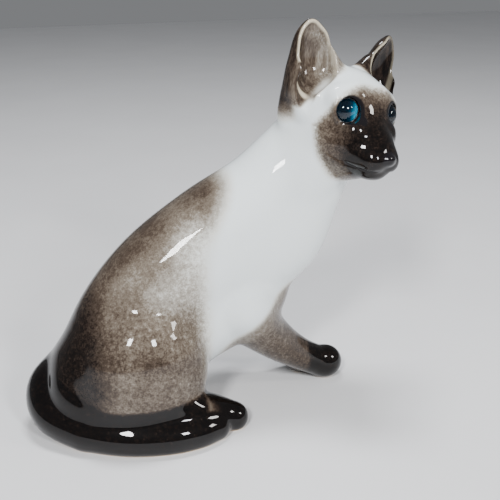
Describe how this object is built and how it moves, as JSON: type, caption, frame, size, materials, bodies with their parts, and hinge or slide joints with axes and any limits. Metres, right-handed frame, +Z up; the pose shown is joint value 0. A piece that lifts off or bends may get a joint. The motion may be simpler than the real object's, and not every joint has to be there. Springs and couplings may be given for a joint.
{
  "type": "ceramic cat figurine",
  "caption": "Glazed ceramic figurine of a seated cat with dark points and blue glass eyes, its head turned to the side and its tail wrapped round one flank.",
  "frame": {"origin": "centre of the whole figure's footprint box on the rest plane", "axes": "+Z up, +X the way the cat's chest faces, +Y the cat's left side"},
  "size_m": [0.2978, 0.135, 0.2959],
  "materials": {
    "trunk_glaze": "high-gloss clear glaze over white slip with an airbrushed brown-grey saddle",
    "head_glaze": "high-gloss clear glaze, cream forehead and dark brown mask",
    "ear_glaze": "high-gloss clear glaze, speckled brown with a cream rim",
    "foreleg_glaze": "high-gloss clear glaze, speckled brown fading to dark paws",
    "dark_glaze": "high-gloss clear glaze over brown-black underglaze",
    "eye_glass": "polished clear glass dome",
    "eye_foil": "turquoise metallic foil",
    "eye_cement": "black setting cement"
  },
  "bodies": {
    "root": {"body_casting": "trunk_glaze", "head_casting": "head_glaze", "right_ear": "ear_glaze", "left_ear": "ear_glaze", "right_foreleg": "foreleg_glaze", "left_foreleg": "foreleg_glaze", "right_hind_paw": "dark_glaze", "left_hind_paw": "dark_glaze", "tail": "dark_glaze", "right_eye_glass": "eye_glass", "left_eye_glass": "eye_glass", "right_eye_foil": "eye_foil", "left_eye_foil": "eye_foil", "right_eye_cement": "eye_cement", "left_eye_cement": "eye_cement"}
  },
  "joints": []
}
